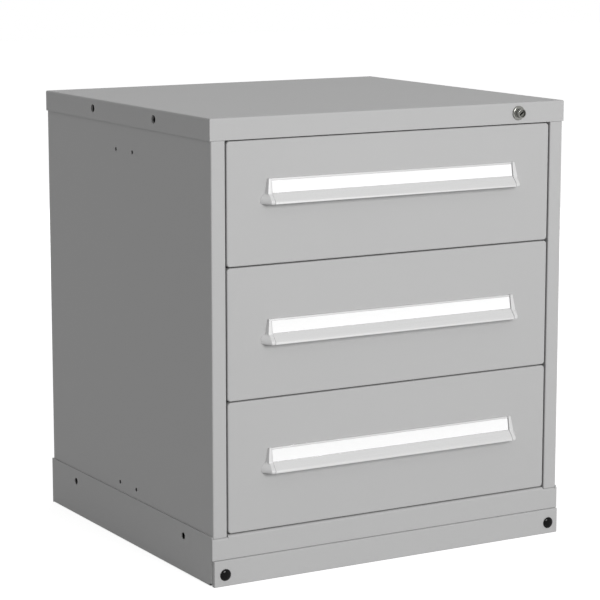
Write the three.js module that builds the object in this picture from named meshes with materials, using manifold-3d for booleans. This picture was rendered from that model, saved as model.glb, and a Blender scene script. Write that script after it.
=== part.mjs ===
// Modular drawer cabinet: a folded sheet-metal case with three drawers on full-extension slides, one lock
// that bars them all, and a low base behind a removable toe plate.
// Millimetres, +Z up, the drawers open towards -Y, and the origin is on the floor under the cabinet's middle.

import * as THREE from 'three';
import { mergeVertices } from 'three/addons/utils/BufferGeometryUtils.js';
import { LoftGeometry } from 'three/addons/geometries/LoftGeometry.js';
import Module from 'manifold-3d';

const wasm = await Module();
wasm.setup();

// Heights that stack up, from the floor to the top cover
const baseHeight = 93.2;
const frontHeights = [225, 242.5, 242.5]; // drawer fronts, the top one first
const frontGap = 2.2; // above, between and below the drawer fronts
const coverRim = 40;

// Case: side panels with their stiles, back, floor and top rails
const caseWidth = 762;
const caseGauge = 1.6;
const stileWidth = 28.5;
const stileReturn = 18;
const rearFlange = 40;
const stileStep = 2.9; // the stile ends this far below the base's top
const sideLap = 13.2; // the side panel reaches this far down inside the base
const floorDrop = 2.2; // the floor lies this far below the base's top
const floorRim = 11;
const railReach = 15.7; // depth of the two top rails
const railClearance = 0.4; // between a top rail and the cover's or the drawer's edge
const foldRadius = 1; // inside radius of every fold

// Top cover
const coverDepth = 705;
const coverGauge = 1.9;
const coverClearance = 0.6; // all round, between its rim and the case
const frontSetback = 0.7; // stiles and drawer fronts behind the cover's front face
const seam = 0.5; // under the cover's rim and under the stiles
const dimpleSideInset = 161; // from the cover's sides
const dimpleFrontInset = 145;
const dimpleBackInset = 130;
const dimpleRadius = 4;
const dimpleDepth = 0.5;

// Holes through the sides
const rimHoleRadius = 8;
const rimHoleSpread = 262.8;
const rimHoleDrop = 19; // below the top
const boltHoleRadius = 4;
const boltHoleSpread = 70.8;
const boltHoleInset = 49; // from the cover's rim, and from the base's lower bolt row
const lowerBoltHeight = 112;
const anchorHoleRadius = 6.8;
const anchorHoleSpread = 474.2;
const anchorHoleHeight = 69.3;

// Base and toe plate
const baseGauge = 1.9;
const baseClearance = 0.6; // between the base's sides and the case
const baseFoot = 60; // width of the flange that stands on the floor
const baseLedge = 24; // depth of the front rail's top flange
const baseFold = 3; // inside radius of the front rail's top edge
const toeHeight = 48.5;
const toeEndInset = 1.5; // the plate ends this far inside the base's sides
const toeReach = 5.2; // the plate stands this far in front of the cover's face
const toeRim = 9.2;
const toeGap = 1; // above the plate
const relief = 5; // square notch at the lower front corner of a base side
const tabReach = 36.6; // the tab behind the toe plate that takes the plug
const tabMargin = 2; // from the relief and from the rail above
const plugRadius = 11;
const plugHeight = 4;
const plugInset = 22.4; // from the toe plate's end
const plugLevel = 21.8; // above the floor
const shankRadius = 4.5;
const shankLength = 13;
const shankPlay = 0.3;

// Uprights that carry the slides
const uprightWidth = 40;
const uprightSetback = 25.3; // front uprights behind the stile's face
const uprightRearSetback = 24;
const uprightGauge = 1.6;
const uprightTopGap = 2;
const slotWidth = 5;
const slotHeight = 14;
const slotPitch = 50.8;
const slotMargin = 20; // from an upright's ends

// Slides: three nested channels on each side of each drawer
const slideLift = 60; // middle of the slide above the bottom edge of the drawer front
const slideHeight = 46;
const slideDepth = 12.3;
const slideGauge = 1.8;
const slideGap = 0.4; // between the nested channels
const passGap = 0.8; // between what moves and the stiles
const slideBackGap = 1; // from the stile's inner edge to the cabinet rail's web
const carriageSetback = 1; // carriage and drawer rail behind the cabinet rail's front end
const carriageShortfall = 14; // the carriage is this much shorter than the cabinet rail

// Drawers
const sideGap = 2.75; // between a drawer front and the stile beside it
const frontDepth = 18.5;
const frontGauge = 1.5;
const frontCorner = 4.5;
const trayGauge = 1.5;
const trayBackGap = 20.5; // from the tray's back to the ends of the cabinet rails
const trayLift = 14; // above the front's bottom edge
const trayDrop = 38; // below the front's top edge
const hemHeight = 10;

// Handles, measured out from the drawer's face and down from the handle's top edge
const handleDrops = [70.2, 97.9, 91.5]; // below the front's top edge
const handleInset = 88.25; // from the front's edge to the end of the extrusion
const handleTopReach = 3;
const channelLip = 2;
const channelFootReach = 7.5;
const channelFootDrop = 26.3;
const channelDepth = 1.4;
const labelGauge = 0.8;
const labelPlay = 0.2; // behind the label, and above and below it
const labelEndPlay = 0.8;
const lipReach = 20;
const lipShoulderDrop = 34.5;
const handleHeight = 45.3;
const lipWall = 2.2;
const lipNose = 1.6;
const gripRoofDrop = 30.6; // roof of the finger gap
const capGap = 0.3; // between the extrusion and its end caps
const capWall = 2;

// Lock
const lockInset = 104; // from the case's right side
const lockDrop = 20; // below the cabinet's top
const bezelRadius = 13.5;
const bezelThickness = 3.2;
const bezelChamfer = 1;
const noseRadius = 8.75;
const noseLength = 10;
const noseChamfer = 0.6;
const barrelRadius = 9.4;
const barrelHolePlay = 0.3;
const barrelLength = 14;
const lockPlugRadius = 6.75;
const lockPlugPlay = 0.2;
const lockPlugLength = 29.7;
const keySlotWidth = 2.2;
const keySlotHeight = 9.5;
const keySlotDepth = 8;
const keySlotTurn = Math.PI * 0.3; // from upright, clockwise as seen from the front
const tailWidth = 8;
const tailLength = 2.8;
const nutWidth = 25;
const nutThickness = 4;
const camGauge = 2;
const camHubRadius = 8.5;
const camThrow = 11;
const camTipRadius = 5;
const camPinRadius = 2.5;
const camPinLength = 4.3;
const barGauge = 2;
const barSetback = 20; // lock bar behind the cover's front face
const barHeadHeight = 12;
const barHeadMargin = 5;
const pinPlay = 0.7;
const barTrayGap = 3.4; // between the bar's inner edge and the tray
const windowDepth = 14; // of the windows in the bar's inner edge that let the slides and catches pass
const windowMargin = 3.5; // above the slide
const hookHeight = 12; // of the bar below its lowest window
const catchHeight = 8;
const catchGap = 3; // between the catch and the hook below it while the drawers are free
const catchDrop = 26; // from the slide's middle down to the top of the catch
const catchGauge = 2;
const catchPlay = 0.5; // behind the hook
const catchMargin = 1.6; // between the catch's tip and the stile's inner edge
const catchRoot = 12; // height of the joint between the catch's stem and the rail's web

// Shared clearances and how finely curves are cut
const seatGap = 0.3; // between pieces that are fastened together
const overrun = 3; // how far a cutting block runs past what it cuts
const foldSteps = 3;
const curveSteps = 5;
const holeSides = 24;
const smallHoleSides = 16;
const turnedSides = 32;

// Where the end cap's outline bulges, as shares of its sideways and its forward reach
const capCornerShares = [[0, 1], [0.22, 1], [0.36, 0.93], [0.47, 0.78], [1, 0]];
// End cap at each level: share of the handle's height, of the lip's forward reach and of its sideways reach
const capLevelShares = [
  [0, 0.2, 0.21],
  [0.57, 0.45, 0.48],
  [0.62, 0.62, 0.55],
  [0.69, 0.89, 0.7],
  [0.78, 0.99, 0.86],
  [0.93, 1, 0.985],
  [1, 0.93, 0.94],
];
const capHollowLevel = 3; // the first level that is hollow

// Places worked out from the sizes above
const caseHalf = caseWidth / 2;
const caseBack = coverDepth - frontSetback;
const sideInner = caseHalf - caseGauge;
const openingHalf = caseHalf - stileWidth;
const innerHalf = sideInner - seatGap;
const stileBottom = baseHeight - stileStep;
const frontBottoms = frontHeights.map((height, i) => {
  const below = frontHeights.slice(i + 1).reduce((sum, each) => sum + each + frontGap, 0);
  return baseHeight + frontGap + below;
});
const coverBottom = frontBottoms[0] + frontHeights[0] + frontGap;
const cabinetHeight = coverBottom + coverRim;
const underCover = cabinetHeight - coverGauge - seatGap;
const stileTop = coverBottom - seam;
const coverHalf = caseHalf + coverClearance + coverGauge;
const coverInset = coverGauge + seatGap; // cover's outer face to what stands inside its rim
const middleY = coverDepth / 2;
const floorTop = baseHeight - floorDrop;
const panelBottom = baseHeight - sideLap;
const backInner = caseBack - 2 * caseGauge - seatGap; // inner face of the back panel
const baseHalf = caseHalf + baseClearance + baseGauge;
const baseBack = caseBack + seatGap + baseGauge;
const baseSideFront = toeRim - toeReach + seam;
const railBottom = toeHeight + toeGap;
const uprightFront = frontSetback + uprightSetback;
const railWebOuter = openingHalf + slideBackGap + slideGauge;
const uprightFace = railWebOuter + seatGap;
const carriageOuter = openingHalf - passGap;
const slideTip = railWebOuter - slideDepth;
const carriageTip = slideTip + slideGap;
const drawerRailOuter = carriageOuter - slideGauge - slideGap;
const drawerRailInner = carriageTip - slideGauge - slideGap / 2;
const carriageHeight = slideHeight - 2 * slideGauge - 2 * slideGap;
const drawerRailHeight = carriageHeight - 2 * slideGauge - 2 * slideGap;
const trayHalf = drawerRailInner - seatGap;
const trayFront = frontSetback + frontDepth + seatGap;
const railLength = caseBack - uprightRearSetback - seatGap - uprightFront;
const carriageLength = railLength - carriageShortfall;
const trayBack = uprightFront + railLength - trayBackGap;
const frontHalf = openingHalf - sideGap;
const handleHalf = frontHalf - handleInset;
const toeHalf = baseHalf - toeEndInset;
const lockOffset = caseHalf - lockInset;
const lockHeight = cabinetHeight - lockDrop;
const camSwing = camThrow * Math.SQRT1_2; // rise or fall of the cam's pin from the lock's axis
const barHeadHeightAtRest = lockHeight - camSwing;
const barInner = trayHalf + barTrayGap;
const catchFront = barSetback + barGauge + catchPlay;
const frontMost = frontSetback - seatGap - lipReach;

// Finishes
const paint = new THREE.MeshStandardMaterial({ color: 0xb4b4b4, roughness: 0.5, metalness: 0 });
const zinc = new THREE.MeshStandardMaterial({ color: 0xa9acae, roughness: 0.35, metalness: 1 });
const aluminium = new THREE.MeshStandardMaterial({ color: 0xd6d7d8, roughness: 0.35, metalness: 1 });
const capPlastic = new THREE.MeshStandardMaterial({ color: 0xc9c9c9, roughness: 0.4, metalness: 0 });
const labelCard = new THREE.MeshStandardMaterial({ color: 0xfafafa, roughness: 0.6, metalness: 0 });
const blackNylon = new THREE.MeshStandardMaterial({ color: 0x0c0c0c, roughness: 0.25, metalness: 0 });
const chrome = new THREE.MeshStandardMaterial({ color: 0xc9c9c5, roughness: 0.12, metalness: 1 });

// A closed geometry as a solid that can be joined and cut
function solidOf(geometry) {
  const bare = new THREE.BufferGeometry().copy(geometry);
  bare.deleteAttribute('normal');
  bare.deleteAttribute('uv');
  const merged = mergeVertices(bare);
  const vertProperties = merged.attributes.position.array;
  const triVerts = new Uint32Array(merged.index.array);
  return new wasm.Manifold(new wasm.Mesh({ numProp: 3, vertProperties, triVerts }));
}

function geometryOf(solid) {
  const { vertProperties, triVerts } = solid.getMesh();
  const geometry = new THREE.BufferGeometry();
  geometry.setAttribute('position', new THREE.BufferAttribute(vertProperties, 3));
  geometry.setIndex(new THREE.BufferAttribute(triVerts, 1));
  geometry.computeVertexNormals();
  return geometry;
}

function join(...pieces) {
  return geometryOf(pieces.map(solidOf).reduce((whole, piece) => whole.add(piece)));
}

function cut(piece, ...tools) {
  return geometryOf(tools.map(solidOf).reduce((left, tool) => left.subtract(tool), solidOf(piece)));
}

// A box between two corners
function block(x, y, z) {
  const geometry = new THREE.BoxGeometry(x[1] - x[0], y[1] - y[0], z[1] - z[0]);
  return geometry.translate((x[0] + x[1]) / 2, (y[0] + y[1]) / 2, (z[0] + z[1]) / 2);
}

// A round rod along X, about the line through y and z
function rodAlongX(radius, x, y, z, sides = holeSides) {
  const geometry = new THREE.CylinderGeometry(radius, radius, x[1] - x[0], sides);
  return geometry.rotateZ(Math.PI / 2).translate((x[0] + x[1]) / 2, y, z);
}

// A round rod along Y, about the line through x and z
function rodAlongY(radius, x, y, z, sides = holeSides) {
  const geometry = new THREE.CylinderGeometry(radius, radius, y[1] - y[0], sides);
  return geometry.translate(x, (y[0] + y[1]) / 2, z);
}

function extrusion(shape, length, bevel = { bevelEnabled: false }) {
  return new THREE.ExtrudeGeometry(shape, { depth: length, curveSegments: curveSteps, ...bevel });
}

// A section drawn in Y and Z, carried along X
function alongX(shape, from, to) {
  const turn = new THREE.Matrix4().set(0, 0, 1, from, 1, 0, 0, 0, 0, 1, 0, 0, 0, 0, 0, 1);
  return extrusion(shape, to - from).applyMatrix4(turn);
}

// A section drawn in X and Z, carried along Y
function alongY(shape, from, to) {
  const turn = new THREE.Matrix4().set(1, 0, 0, 0, 0, 0, -1, to, 0, 1, 0, 0, 0, 0, 0, 1);
  return extrusion(shape, to - from).applyMatrix4(turn);
}

// A section drawn in X and Y, carried along Z
function alongZ(shape, from, to) {
  return extrusion(shape, to - from).translate(0, 0, from);
}

// The section of a folded sheet. The path is one face of the sheet, walked with the sheet on its left, and
// each corner becomes an arc whose inside radius is given.
function folded(path, gauge, radius = foldRadius) {
  const corners = path.map(([x, y]) => new THREE.Vector2(x, y));
  const middle = new THREE.Vector2();
  const face = [];
  const back = [];
  corners.forEach((corner, i) => {
    const next = corners[Math.min(i + 1, corners.length - 1)];
    const before = corner.clone().sub(corners[Math.max(i - 1, 0)]).normalize();
    const after = next.clone().sub(corner).normalize();
    const heading = i > 0 ? before : after;
    const left = new THREE.Vector2(-heading.y, heading.x);
    if (i === 0 || next === corner) {
      face.push(corner);
      back.push(corner.clone().addScaledVector(left, gauge));
      return;
    }
    const turn = Math.atan2(before.cross(after), before.dot(after));
    const leftward = turn > 0;
    const faceRadius = leftward ? radius + gauge : radius;
    const backRadius = leftward ? radius : radius + gauge;
    const start = corner.clone().addScaledVector(before, -faceRadius * Math.tan(Math.abs(turn) / 2));
    const centre = start.clone().addScaledVector(left, leftward ? faceRadius : -faceRadius);
    for (let step = 0; step <= foldSteps; step++) {
      const spoke = start.clone().sub(centre).normalize().rotateAround(middle, (turn * step) / foldSteps);
      face.push(centre.clone().addScaledVector(spoke, faceRadius));
      back.push(centre.clone().addScaledVector(spoke, backRadius));
    }
  });
  return new THREE.Shape([...face, ...back.reverse()]);
}

function rectangle(width, height, corner) {
  const x = width / 2;
  const y = height / 2;
  if (corner <= 0) {
    return new THREE.Shape([[-x, -y], [x, -y], [x, y], [-x, y]].map(([u, v]) => new THREE.Vector2(u, v)));
  }
  const shape = new THREE.Shape();
  shape.absarc(x - corner, -y + corner, corner, -Math.PI / 2, 0);
  shape.absarc(x - corner, y - corner, corner, 0, Math.PI / 2);
  shape.absarc(-x + corner, y - corner, corner, Math.PI / 2, Math.PI);
  shape.absarc(-x + corner, -y + corner, corner, Math.PI, Math.PI * 1.5);
  return shape;
}

// A block whose upper edges are rounded, from z = 0 down
function domedBlock(width, length, depth, edge, corner) {
  const bevel = {
    bevelEnabled: true,
    bevelThickness: edge,
    bevelSize: edge,
    bevelOffset: -edge,
    bevelSegments: foldSteps,
  };
  const whole = extrusion(rectangle(width, length, corner), depth + overrun, bevel);
  whole.translate(0, 0, -depth - overrun - edge);
  const lowest = -depth - overrun - 2 * edge - overrun;
  return cut(whole, block([-width, width], [-length, length], [lowest, -depth]));
}

// A folded pan: its face at z = 0 with a rim turned down all round
function pan(width, length, rim, gauge, corner = 0) {
  const outer = domedBlock(width, length, rim, foldRadius + gauge, corner);
  const hollowWidth = width - 2 * gauge;
  const hollowLength = length - 2 * gauge;
  const hollowCorner = Math.max(corner - gauge, 0);
  const hollow = domedBlock(hollowWidth, hollowLength, rim + overrun, foldRadius, hollowCorner);
  return cut(outer, hollow.translate(0, 0, -gauge));
}

// A piece turned on the lathe about Y, its outline given as radius and place along Y
function turned(outline, sides = turnedSides) {
  const points = [...outline, outline[0]].map(([radius, y]) => new THREE.Vector2(radius, y));
  return new THREE.LatheGeometry(points, sides);
}

function mesh(name, geometry, material) {
  const piece = new THREE.Mesh(geometry, material);
  piece.name = name;
  return piece;
}

// The same piece for both sides: the right one as drawn, the left one mirrored
function bothSides(name, geometry, material) {
  const right = mesh(`${name}_right`, geometry, material);
  const left = mesh(`${name}_left`, geometry, material);
  left.scale.x = -1;
  return [left, right];
}

function group(children, x, y, z) {
  const set = new THREE.Group();
  set.add(...children);
  set.position.set(x, y, z);
  return set;
}

// Side panel: the outside wall, folded round the front into a stile and round the back into a flange
function sidePanel() {
  const path = [
    [openingHalf, frontSetback + stileReturn],
    [openingHalf, frontSetback],
    [caseHalf, frontSetback],
    [caseHalf, caseBack],
    [caseHalf - rearFlange, caseBack],
  ];
  const fold = caseGauge + foldRadius;
  const flat = [frontSetback + fold, caseBack - fold];
  const wall = block([sideInner, caseHalf], flat, [panelBottom, underCover]);
  const panel = join(wall, alongZ(folded(path, caseGauge), stileBottom, stileTop));
  const through = [sideInner - overrun, caseHalf + overrun];
  const upperBoltHeight = coverBottom - boltHoleInset;
  const holes = [-0.5, 0.5].flatMap((way) => [
    rodAlongX(boltHoleRadius, through, middleY + way * boltHoleSpread, upperBoltHeight, smallHoleSides),
    rodAlongX(boltHoleRadius, through, middleY + way * boltHoleSpread, lowerBoltHeight, smallHoleSides),
    rodAlongX(rimHoleRadius, through, middleY + way * rimHoleSpread, cabinetHeight - rimHoleDrop),
  ]);
  return bothSides('side_panel', cut(panel, ...holes), paint);
}

function backPanel() {
  const half = innerHalf - foldRadius;
  const sheet = block([-half, half], [backInner, backInner + caseGauge], [panelBottom, underCover]);
  return mesh('back_panel', sheet, paint);
}

// Floor of the case, its rim turned down
function floorPan() {
  const front = baseLedge + seatGap;
  const back = backInner - seatGap;
  const floor = pan(2 * innerHalf, back - front, floorRim, caseGauge);
  return mesh('floor_pan', floor.translate(0, (front + back) / 2, floorTop), paint);
}

// Channels across the front and the back under the cover; the front one carries the lock
function topRails() {
  const low = coverBottom + railClearance;
  const front = coverInset;
  const back = backInner - seatGap;
  const frontEdge = front + railReach;
  const backEdge = back - railReach;
  const frontPath = [[frontEdge, underCover], [front, underCover], [front, low], [frontEdge, low]];
  const backPath = [[backEdge, low], [back, low], [back, underCover], [backEdge, underCover]];
  const hole = rodAlongY(barrelRadius + barrelHolePlay, lockOffset, [0, front + overrun], lockHeight);
  return [
    mesh('top_rail_front', cut(alongX(folded(frontPath, caseGauge), -innerHalf, innerHalf), hole), paint),
    mesh('top_rail_rear', alongX(folded(backPath, caseGauge), -innerHalf, innerHalf), paint),
  ];
}

// Top cover: a pan turned down over the case, with holes in its side rims and four shallow dimples on top
function topCover() {
  const shell = pan(2 * coverHalf, coverDepth, coverRim, coverGauge).translate(0, middleY, cabinetHeight);
  const across = [-coverHalf - overrun, coverHalf + overrun];
  const rimHoleHeight = cabinetHeight - rimHoleDrop;
  const holes = [-0.5, 0.5].map((way) =>
    rodAlongX(rimHoleRadius, across, middleY + way * rimHoleSpread, rimHoleHeight));
  const through = [-overrun, coverGauge + overrun];
  holes.push(rodAlongY(barrelRadius + barrelHolePlay, lockOffset, through, lockHeight));
  const dimpleX = coverHalf - dimpleSideInset;
  const dimpleY = [dimpleFrontInset, coverDepth - dimpleBackInset];
  const places = dimpleY.flatMap((y) => [[-dimpleX, y], [dimpleX, y]]);
  const cones = places.map(([x, y]) => {
    const cone = new THREE.CylinderGeometry(dimpleRadius, dimpleRadius / 2, 2 * dimpleDepth, smallHoleSides);
    return cone.rotateX(Math.PI / 2).translate(x, y, cabinetHeight);
  });
  return mesh('top_cover', cut(shell, ...holes, ...cones), paint);
}

// Base: two sides that stand on the floor, a front rail with a rounded top edge and a rear rail
function baseSides() {
  const wallInner = baseHalf - baseGauge;
  const path = [[baseHalf - baseFoot, 0], [baseHalf, 0], [baseHalf, baseHeight]];
  const wall = alongY(folded(path, baseGauge), baseSideFront, baseBack - baseGauge - seatGap);
  const upper = block([wallInner, baseHalf], [coverInset, baseSideFront + overrun], [railBottom, baseHeight]);
  const tab = block(
    [wallInner - tabReach, baseHalf],
    [baseSideFront, baseSideFront + baseGauge],
    [relief + tabMargin, railBottom - tabMargin],
  );
  const notch = block([0, caseWidth], [0, baseSideFront + relief], [-overrun, relief]);
  const holes = [-1, 1].map((way) => rodAlongX(
    anchorHoleRadius,
    [wallInner - overrun, baseHalf + overrun],
    middleY + (way * anchorHoleSpread) / 2,
    anchorHoleHeight,
  ));
  const throughTab = [0, toeRim + overrun];
  const shankHole = rodAlongY(shankRadius + shankPlay, toeHalf - plugInset, throughTab, plugLevel);
  return bothSides('base_side', cut(join(wall, upper, tab), notch, shankHole, ...holes), paint);
}

function baseRails() {
  const endTop = stileBottom - seam;
  const railSection = (top) => folded([[baseLedge, top], [0, top], [0, railBottom]], baseGauge, baseFold);
  const raisedHalf = openingHalf - frontGap;
  const raised = alongX(railSection(baseHeight), -raisedHalf, raisedHalf);
  const lower = alongX(railSection(endTop), -innerHalf, innerHalf);
  const cutHalf = raisedHalf - baseGauge;
  const middleCut = block([-cutHalf, cutHalf], [baseFold, baseLedge + overrun], [railBottom, endTop]);
  const web = block([-baseHalf, baseHalf], [0, baseGauge], [railBottom, endTop - baseFold - baseGauge]);
  const cornerTop = endTop - baseFold - baseGauge - overrun;
  const corners = [-1, 1].map((way) => {
    const ends = [way * (innerHalf - overrun), way * baseHalf].sort((a, b) => a - b);
    return block(ends, [0, baseGauge], [cornerTop, endTop]);
  });
  const rearWeb = block([-baseHalf, baseHalf], [baseBack - baseGauge, baseBack], [0, baseHeight]);
  const footHalf = baseHalf - baseFoot - seatGap;
  const rearFoot = block([-footHalf, footHalf], [baseBack - baseFoot, baseBack], [0, baseGauge]);
  return [
    mesh('base_rail_front', join(raised, cut(lower, middleCut), web, ...corners), paint),
    mesh('base_rail_rear', join(rearWeb, rearFoot), paint),
  ];
}

function toePlate() {
  const plate = pan(2 * toeHalf, toeHeight, toeRim, baseGauge);
  plate.rotateX(Math.PI / 2).translate(0, -toeReach, toeHeight / 2);
  const holes = [-1, 1].map((way) => rodAlongY(
    shankRadius + shankPlay,
    way * (toeHalf - plugInset),
    [-toeReach - overrun, 0],
    plugLevel,
  ));
  return mesh('toe_plate', cut(plate, ...holes), paint);
}

// Black push-in plug that holds the toe plate: a low dome on a shank
function toePlugs() {
  const dome = [];
  for (let step = 0; step <= curveSteps; step++) {
    const angle = (Math.PI / 2) * (step / curveSteps);
    dome.push([plugRadius * Math.sin(angle), -plugHeight * Math.cos(angle)]);
  }
  const outline = [[0, shankLength], ...dome, [shankRadius, 0], [shankRadius, shankLength]];
  const plug = turned(outline).translate(toeHalf - plugInset, -toeReach - seatGap, plugLevel);
  return bothSides('toe_plug', plug, blackNylon);
}

// Upright: a channel with its open side to the side panel and a row of slots for the slides
function upright(name, front) {
  const back = front + uprightWidth;
  const path = [[innerHalf, back], [uprightFace, back], [uprightFace, front], [innerHalf, front]];
  const top = underCover - uprightTopGap;
  const bottom = floorTop + seatGap;
  const slots = [];
  for (let z = bottom + slotMargin; z + slotHeight < top - slotMargin; z += slotPitch) {
    const middle = front + uprightWidth / 2;
    const across = [uprightFace - overrun, uprightFace + uprightGauge + overrun];
    slots.push(block(across, [middle - slotWidth / 2, middle + slotWidth / 2], [z, z + slotHeight]));
  }
  return bothSides(name, cut(alongZ(folded(path, uprightGauge), bottom, top), ...slots), zinc);
}

// The three channels of one slide, drawn on the right side about the slide's middle height
function channel(web, tip, height, from, length) {
  const half = height / 2;
  const rim = web > tip ? -half : half;
  const path = [[tip, rim], [web, rim], [web, -rim], [tip, -rim]];
  return alongY(folded(path, slideGauge), from, from + length);
}

function cabinetRails(number) {
  const rail = channel(railWebOuter, slideTip, slideHeight, uprightFront, railLength);
  return bothSides(`cabinet_rail_${number}`, rail, zinc);
}

function carriages(number) {
  const front = uprightFront + carriageSetback;
  const carriage = channel(carriageOuter, carriageTip, carriageHeight, front, carriageLength);
  return bothSides(`carriage_${number}`, carriage, zinc);
}

// The rails on the drawer; the right one carries the catch for the lock bar, on a stem at its front end
function drawerRails(number) {
  const front = uprightFront + carriageSetback;
  const rail = channel(drawerRailInner, drawerRailOuter, drawerRailHeight, front, trayBack - front);
  const web = [drawerRailInner, drawerRailInner + slideGauge];
  const rootZ = [-drawerRailHeight / 2, catchRoot - drawerRailHeight / 2];
  const root = block(web, [catchFront, front + overrun], rootZ);
  const stem = block(web, [catchFront, catchFront + catchGauge], [-catchDrop - catchHeight, rootZ[1]]);
  const ear = block(
    [drawerRailInner, openingHalf - catchMargin],
    [catchFront, catchFront + catchGauge],
    [-catchDrop - catchHeight, -catchDrop],
  );
  const left = mesh(`drawer_rail_${number}_left`, rail, zinc);
  left.scale.x = -1;
  return [left, mesh(`drawer_rail_${number}_right`, join(rail, root, stem, ear), zinc)];
}

// Tray: an open box with a hemmed rim
function tray(number, height) {
  const trayHeight = height - trayLift - trayDrop;
  const box = block([-trayHalf, trayHalf], [trayFront, trayBack], [0, trayHeight]);
  const inset = (wall) => [[-trayHalf + wall, trayHalf - wall], [trayFront + wall, trayBack - wall]];
  const inside = block(...inset(trayGauge), [trayGauge, trayHeight - hemHeight]);
  const mouth = block(...inset(2 * trayGauge), [trayGauge, trayHeight + overrun]);
  return mesh(`drawer_tray_${number}`, cut(box, mouth, inside).translate(0, 0, trayLift), paint);
}

function drawerFront(number, height) {
  const front = pan(2 * frontHalf, height, frontDepth, frontGauge, frontCorner);
  front.rotateX(Math.PI / 2).translate(0, frontSetback, height / 2);
  return mesh(`drawer_front_${number}`, front, paint);
}

// How far the label channel's front line stands out from the drawer's face at a level below the handle's top
function channelReach(drop) {
  return handleTopReach + ((channelFootReach - handleTopReach) * drop) / channelFootDrop;
}

// The extrusion's section: a leaning label channel above a rounded lip that hides the finger gap
function handleSection() {
  const shape = new THREE.Shape();
  const lineTo = (reach, drop) => shape.lineTo(-reach, -drop);
  const curveTo = (...points) => shape.bezierCurveTo(...points.map((value) => -value));
  const channelFoot = channelFootDrop - channelLip / 2;
  shape.moveTo(0, 0);
  lineTo(handleTopReach, 0);
  lineTo(channelReach(channelLip), channelLip);
  lineTo(channelReach(channelLip) - channelDepth, channelLip);
  lineTo(channelReach(channelFoot) - channelDepth, channelFoot);
  lineTo(channelReach(channelFoot), channelFoot);
  lineTo(channelFootReach, channelFootDrop);
  const brow = (channelFootReach + lipReach) / 2;
  const shoulder = (channelFootDrop + lipShoulderDrop) / 2;
  curveTo(brow, channelFootDrop, lipReach, shoulder, lipReach, lipShoulderDrop);
  lineTo(lipReach, handleHeight - lipNose);
  lineTo(lipReach - lipNose / 2, handleHeight);
  lineTo(lipReach - lipWall, handleHeight);
  lineTo(lipReach - lipWall, lipShoulderDrop);
  curveTo(lipReach - lipWall, gripRoofDrop, brow, gripRoofDrop, channelFootReach, gripRoofDrop);
  lineTo(0, gripRoofDrop);
  return shape;
}

function handle(number) {
  return mesh(`handle_${number}`, alongX(handleSection(), -handleHalf, handleHalf), aluminium);
}

// The bare label strip that lies in the handle's channel
function label(number) {
  const back = labelPlay - channelDepth;
  const top = channelLip + labelPlay;
  const foot = channelFootDrop - channelLip / 2 - labelPlay;
  const corners = [[top, back], [top, back + labelGauge], [foot, back + labelGauge], [foot, back]];
  const points = corners.map(([drop, out]) => new THREE.Vector2(-channelReach(drop) - out, -drop));
  const half = handleHalf - labelEndPlay;
  return mesh(`label_${number}`, alongX(new THREE.Shape(points), -half, half), labelCard);
}

// End cap: sections at each level, carried round from the handle's front to the drawer's face, hollow below
function endCaps(number) {
  const section = (level, wall, back, start) => {
    const [heightShare, frontShare, sideShare] = capLevelShares[level];
    const forward = frontShare * lipReach - wall;
    const sideways = sideShare * lipReach - wall;
    const drop = heightShare * handleHeight;
    const corner = ([side, front]) => [start + side * (sideways - start), -front * forward];
    const curve = capCornerShares.map(corner);
    curve[curve.length - 1][1] = back;
    return [[start, back], ...curve].map(([x, y]) => new THREE.Vector3(x, y, -drop));
  };
  const ends = { capStart: true, capEnd: true };
  const upwards = capLevelShares.map((_, i) => i).reverse();
  const whole = new LoftGeometry(upwards.map((i) => section(i, 0, 0, 0)), ends);
  const inner = upwards.filter((i) => i >= capHollowLevel).map((i) => section(i, capWall, overrun, -overrun));
  const mouth = inner[0].map((point) => point.clone().setZ(point.z - overrun));
  const hollow = new LoftGeometry([mouth, ...inner], ends);
  const cap = cut(whole, hollow).translate(handleHalf + capGap, 0, 0);
  return bothSides(`handle_cap_${number}`, cap, capPlastic);
}

// Lock housing: a bezel on the cover's front, a nose that stands out of it and a barrel through the rim
function lockHousing() {
  const bore = lockPlugRadius + lockPlugPlay;
  const tip = -bezelThickness - noseLength;
  const outline = [
    [bore, tip],
    [bore, barrelLength],
    [barrelRadius, barrelLength],
    [barrelRadius, 0],
    [bezelRadius, 0],
    [bezelRadius, -bezelThickness + bezelChamfer],
    [bezelRadius - bezelChamfer, -bezelThickness],
    [noseRadius, -bezelThickness],
    [noseRadius, tip + noseChamfer],
    [noseRadius - noseChamfer, tip],
  ];
  return mesh('lock_housing', turned(outline.reverse()), chrome);
}

// Hexagon nut behind the front top rail
function lockNut() {
  const flat = nutWidth / 2 / Math.cos(Math.PI / 6);
  const front = coverInset + caseGauge + 2 * seatGap;
  const body = rodAlongY(flat, 0, [front, front + nutThickness], 0, 6);
  const through = [front - overrun, front + nutThickness + overrun];
  const hole = rodAlongY(barrelRadius + barrelHolePlay, 0, through, 0);
  return mesh('lock_nut', cut(body, hole), zinc);
}

function lockPlug() {
  const face = -bezelThickness - noseLength;
  const back = face + lockPlugLength;
  const body = rodAlongY(lockPlugRadius, 0, [face, back], 0, turnedSides);
  const half = tailWidth / 2;
  const tail = block([-half, half], [back - overrun, back + tailLength], [-half, half]);
  const slot = block(
    [-keySlotWidth / 2, keySlotWidth / 2],
    [face - overrun, face + keySlotDepth],
    [-keySlotHeight / 2, keySlotHeight / 2],
  ).rotateY(keySlotTurn);
  return mesh('lock_plug', cut(join(body, tail), slot), chrome);
}

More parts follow.
